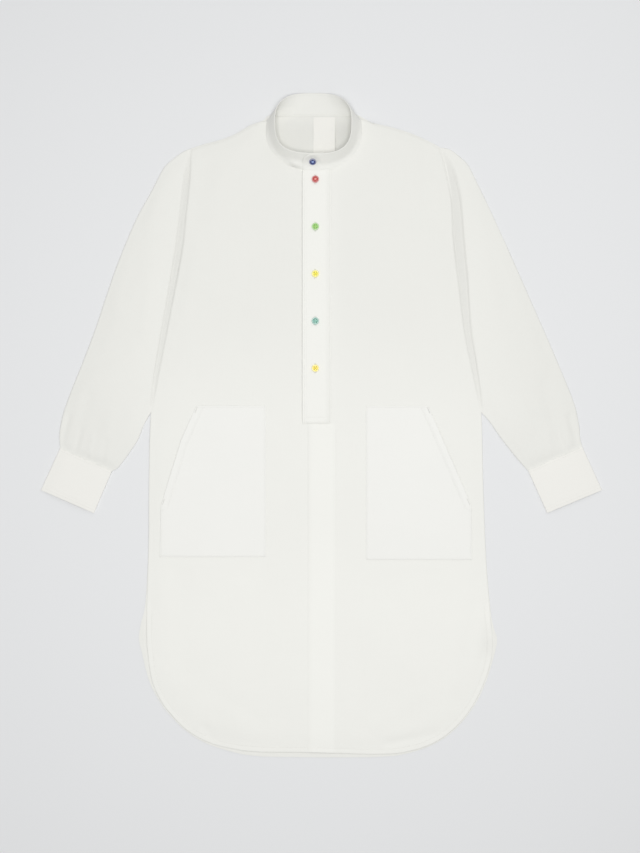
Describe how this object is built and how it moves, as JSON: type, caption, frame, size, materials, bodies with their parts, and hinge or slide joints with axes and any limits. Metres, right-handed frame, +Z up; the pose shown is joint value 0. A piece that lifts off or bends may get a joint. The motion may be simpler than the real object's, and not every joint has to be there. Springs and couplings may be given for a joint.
{
  "type": "nightshirt",
  "caption": "Long-sleeved white cotton nightshirt with a stand collar, button placket, box pleat, patch pockets and shirt-tail hem, laid flat with its front up.",
  "frame": {"origin": "at mid body on the surface that the garment lies on: the underside of the back panel", "axes": "+X to the wearer's left, +Y along the body towards the collar, +Z up, out of the front"},
  "size_m": [0.8696, 1.0296, 0.0303],
  "materials": {
    "body_cloth": "fine plain-weave cotton, matt",
    "sleeve_cloth": "fine plain-weave cotton, matt",
    "doubled_cloth": "fine plain-weave cotton in two layers, pressed",
    "pocket_cloth": "fine plain-weave cotton, matt",
    "label_tape": "bare woven tape, slight sheen",
    "button_1_blue": "polished",
    "button_2_red": "polished",
    "button_3_green": "polished",
    "button_4_yellow": "polished",
    "button_5_teal": "polished",
    "button_6_yellow": "polished"
  },
  "bodies": {
    "root": {"back": "body_cloth", "front": "body_cloth", "placket": "doubled_cloth", "sleeve_left": "sleeve_cloth", "sleeve_right": "sleeve_cloth", "cuff_left": "doubled_cloth", "cuff_right": "doubled_cloth", "collar_band": "doubled_cloth", "pocket_left": "pocket_cloth", "pocket_right": "pocket_cloth", "neck_label": "label_tape", "button_1_blue": "button_1_blue", "button_2_red": "button_2_red", "button_3_green": "button_3_green", "button_4_yellow": "button_4_yellow", "button_5_teal": "button_5_teal", "button_6_yellow": "button_6_yellow"}
  },
  "joints": []
}
